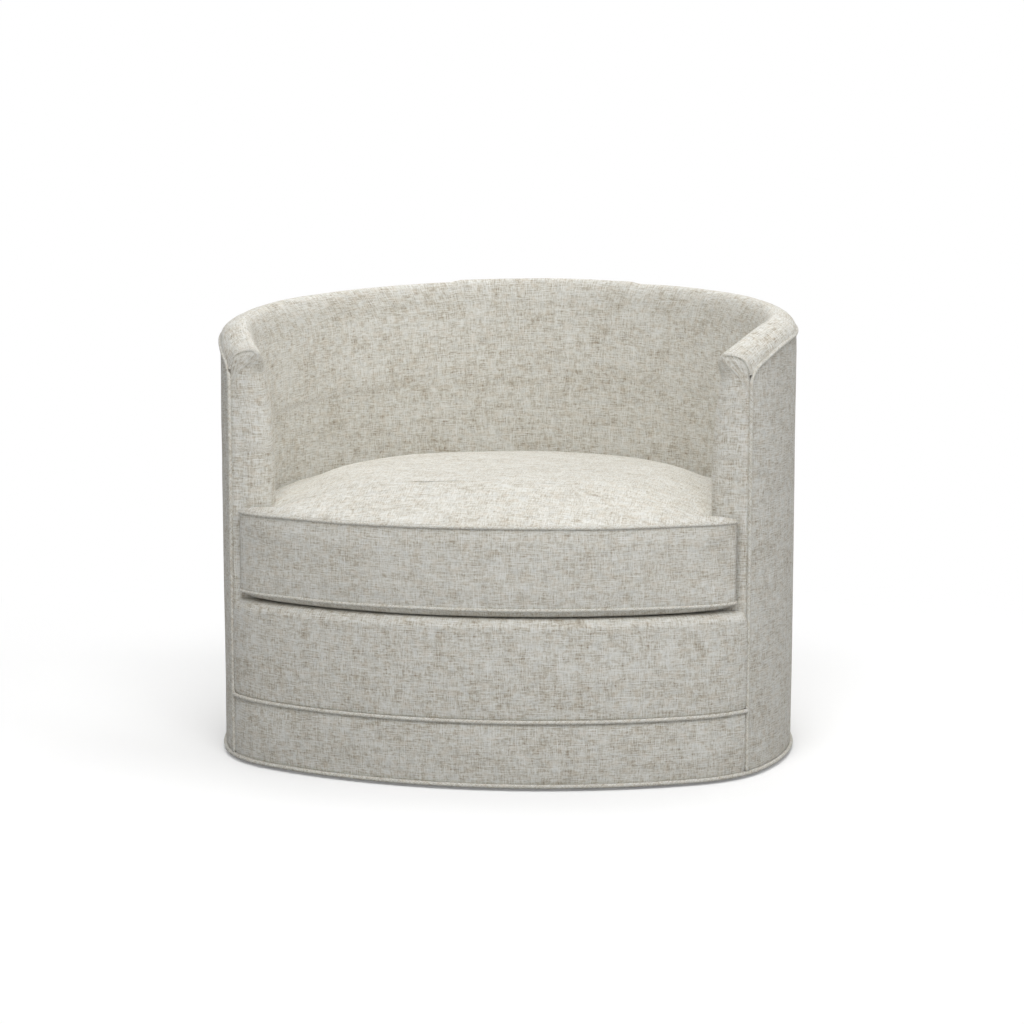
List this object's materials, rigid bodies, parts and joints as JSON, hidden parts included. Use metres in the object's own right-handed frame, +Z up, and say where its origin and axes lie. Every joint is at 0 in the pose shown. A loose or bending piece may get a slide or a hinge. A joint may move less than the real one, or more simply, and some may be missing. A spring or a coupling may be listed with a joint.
{
  "type": "barrel swivel chair",
  "caption": "Upholstered barrel swivel chair with a padded round back and arms in one sweep, a loose T-shaped seat cushion and welted seams, turning on a hidden ball race.",
  "frame": {"origin": "on the floor, under the swivel axis", "axes": "+Z up along the swivel axis, the chair faces -Y, +X is the chair's left arm as seen by its sitter, and the viewer's right"},
  "size_m": [0.8649, 0.7709, 0.6861],
  "materials": {
    "linen_fabric": "heathered off-white linen-look plain weave",
    "welt_fabric": "the same weave cut on the bias over cord",
    "zip_fabric": "woven tape with a nylon coil",
    "felt": "grey pressed felt",
    "cambric": "black non-woven",
    "foam": "cream polyurethane foam and fibre",
    "hardwood": "planed hardwood",
    "plywood": "bare plywood",
    "panel_board": "brown bending board",
    "black_steel": "black powder coat",
    "zinc_steel": "zinc plated",
    "nylon": "natural nylon"
  },
  "bodies": {
    "base": {"floor_ring": "nylon", "base_ring": "black_steel", "base_spokes": "black_steel", "hub_boss": "black_steel", "lower_race": "zinc_steel", "king_pin": "zinc_steel", "king_pin_washer": "zinc_steel", "king_pin_nut": "zinc_steel"},
    "cage": {"ball_cage": "nylon", "bearing_balls": "zinc_steel"},
    "chair": {"upper_race": "zinc_steel", "race_bolts": "zinc_steel", "swivel_board": "plywood", "kick_band": "plywood", "front_rail": "plywood", "front_post_left": "hardwood", "front_post_right": "hardwood", "back_posts": "hardwood", "top_rail": "plywood", "seat_ring": "plywood", "glue_blocks": "hardwood", "seat_springs": "zinc_steel", "spring_clips": "black_steel", "deck_felt": "felt", "deck_cover": "linen_fabric", "dust_cover": "cambric", "outside_panel": "panel_board", "wall_padding": "foam", "inside_cover": "linen_fabric", "outside_cover": "linen_fabric", "arm_front_left": "linen_fabric", "arm_front_right": "linen_fabric", "front_padding": "foam", "rail_cover": "linen_fabric", "base_band": "linen_fabric", "edge_welt": "welt_fabric", "mid_welt": "welt_fabric", "bottom_welt": "welt_fabric"},
    "cushion": {"cushion_core": "foam", "cushion_cover": "linen_fabric", "cushion_top_welt": "welt_fabric", "cushion_bottom_welt": "welt_fabric", "zip_tape": "zip_fabric"},
    "zip": {"zip_slider": "zinc_steel"}
  },
  "joints": [
    {"name": "seat_swivel", "type": "hinge", "parent": "base", "child": "chair", "pos_m": [0, 0, 0.036], "axis": [0, 0, 1], "continuous": true},
    {"name": "cage_turn", "type": "hinge", "parent": "base", "child": "cage", "pos_m": [0, 0, 0.036], "axis": [0, 0, 1], "continuous": true},
    {"name": "cushion_lift", "type": "slide", "parent": "chair", "child": "cushion", "axis": [0, 0, 1], "range_m": [0, 0.45]},
    {"name": "zip_slide", "type": "hinge", "parent": "cushion", "child": "zip", "pos_m": [0, 0, 0.31], "axis": [0, 0, 1], "range_deg": [0, 68]}
  ],
  "couplings": [
    {"joint": "cage_turn", "follows": "seat_swivel", "ratio": 0.5}
  ]
}
